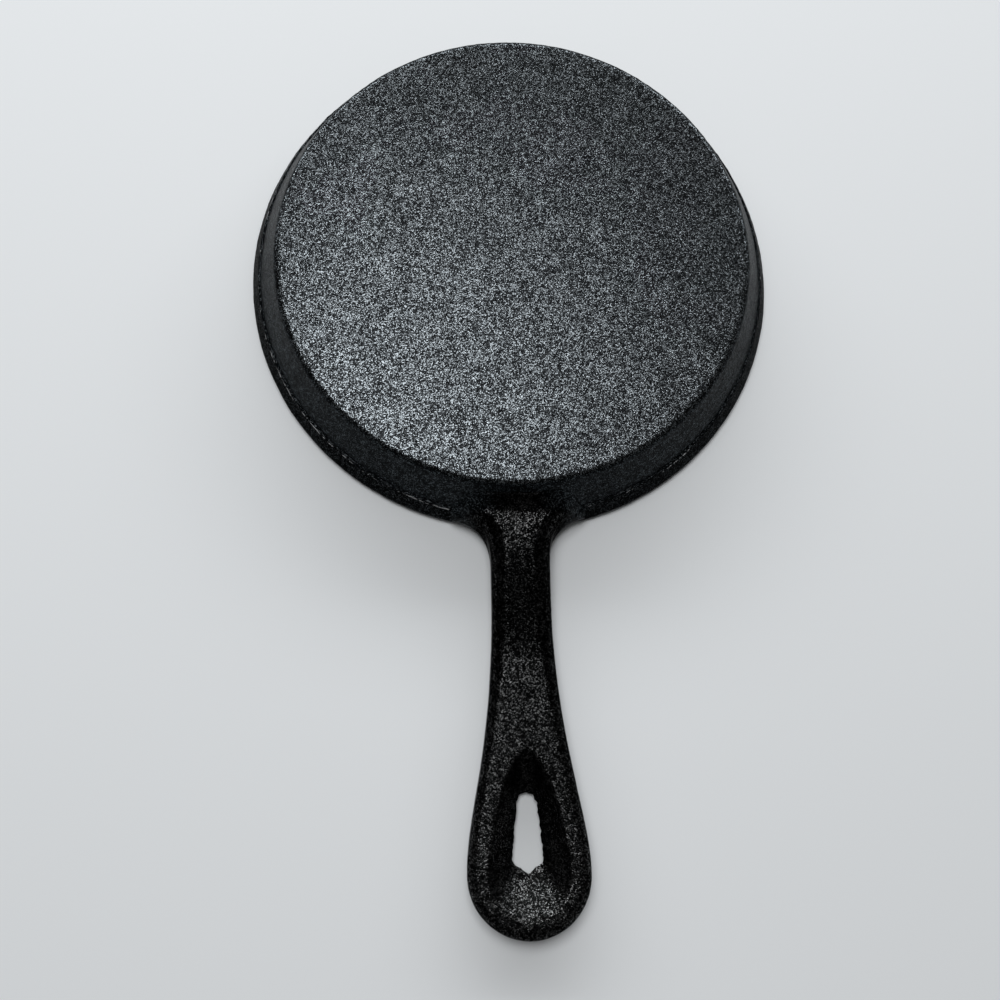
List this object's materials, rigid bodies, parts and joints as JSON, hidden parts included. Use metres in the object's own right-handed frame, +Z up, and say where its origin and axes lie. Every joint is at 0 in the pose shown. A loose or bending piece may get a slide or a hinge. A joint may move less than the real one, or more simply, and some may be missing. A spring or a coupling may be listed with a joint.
{
  "type": "skillet",
  "caption": "Small cast-iron skillet: round flat-bottomed pan with a flared wall and rolled lip, and a waisted handle ending in a teardrop hanging eye.",
  "frame": {"origin": "centre of the base's underside, where the pan's axis meets the surface it stands on", "axes": "+Z up out of the pan's mouth, -Y along the handle away from the pan, +X to the right of the handle seen from its end"},
  "size_m": [0.165, 0.2825, 0.021],
  "materials": {
    "base_iron": "seasoned black, coarse sand-cast grain",
    "wall_iron": "seasoned black, fine sand-cast grain",
    "handle_iron": "seasoned black, medium sand-cast grain, smoother flanks"
  },
  "bodies": {
    "root": {"pan_floor": "base_iron", "side_wall": "wall_iron", "rim_band": "wall_iron", "handle": "handle_iron"}
  },
  "joints": []
}
